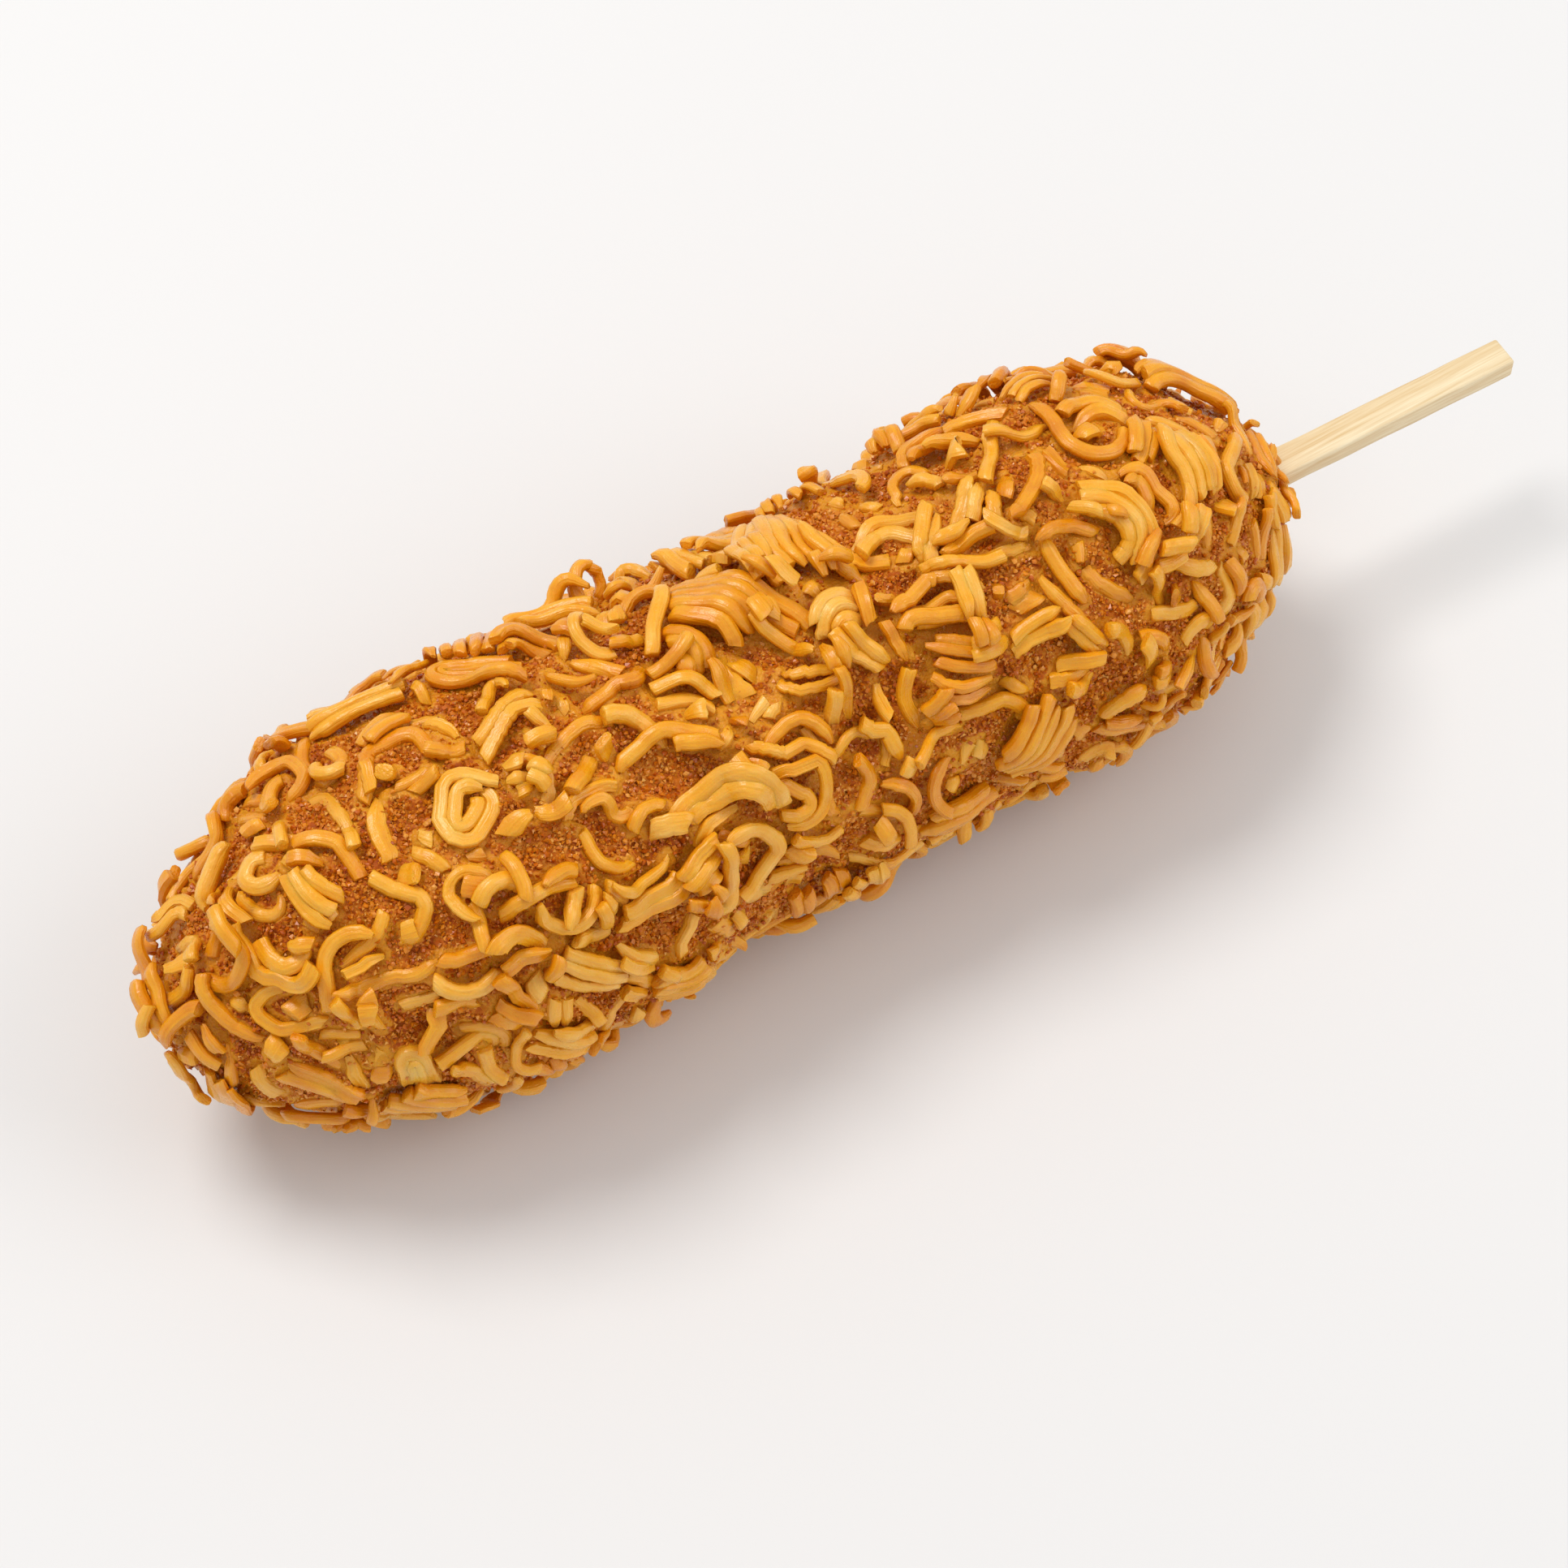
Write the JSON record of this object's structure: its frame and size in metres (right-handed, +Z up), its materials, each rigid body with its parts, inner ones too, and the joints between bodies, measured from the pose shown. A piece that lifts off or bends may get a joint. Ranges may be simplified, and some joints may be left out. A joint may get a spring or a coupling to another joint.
{
  "type": "noodle-crusted corn dog on a stick",
  "caption": "Long fried corn dog with a sandy crumb crust, coated all over in curled bits of fried noodle, lying on its side on a flat wooden stick.",
  "frame": {"origin": "middle of the underside of the bounding box, on the surface that the corn dog lies on", "axes": "+X along the body towards the stick, +Z up, -Y towards the shown side"},
  "size_m": [0.2059, 0.0568, 0.0557],
  "materials": {
    "crust": "matt golden-brown fried crumb crust with smoother batter between the noodles",
    "noodle": "golden fried noodle with a soft oily sheen, paler where it is sunk in batter",
    "stick": "plain unvarnished bamboo with fine lengthwise grain"
  },
  "bodies": {
    "root": {"crust": "crust", "noodle_01_curl": "noodle", "noodle_02_curl": "noodle", "noodle_03_bundle": "noodle", "noodle_04_hairpin": "noodle", "noodle_05_bundle": "noodle", "noodle_06_hook": "noodle", "noodle_07_bundle": "noodle", "noodle_08_curl": "noodle", "noodle_09_curl": "noodle", "noodle_10_hook": "noodle", "noodle_11_hook": "noodle", "noodle_12_arc": "noodle", "noodle_13_bundle": "noodle", "noodle_14_arc": "noodle", "noodle_15_bundle": "noodle", "noodle_16_bundle": "noodle", "noodle_17_bundle": "noodle", "noodle_18_bundle": "noodle", "noodle_19_bundle": "noodle", "noodle_20_bundle": "noodle", "noodle_21_curl": "noodle", "noodle_22_hairpin": "noodle", "noodle_23_bundle": "noodle", "noodle_24_bundle": "noodle", "noodle_25_wave": "noodle", "noodle_26_curl": "noodle", "noodle_27_bundle": "noodle", "noodle_28_arc": "noodle", "noodle_29_arc": "noodle", "noodle_30_curl": "noodle", "noodle_31_bundle": "noodle", "noodle_32_bundle": "noodle", "noodle_33_arc": "noodle", "noodle_34_arc": "noodle", "noodle_35_hook": "noodle", "noodle_36_arc": "noodle", "noodle_37_curl": "noodle", "noodle_38_bundle": "noodle", "noodle_39_hook": "noodle", "noodle_40_wave": "noodle", "noodle_41_bundle": "noodle", "noodle_42_arc": "noodle", "noodle_43_curl": "noodle", "noodle_44_bundle": "noodle", "noodle_45_hook": "noodle", "stick": "stick"}
  },
  "joints": []
}
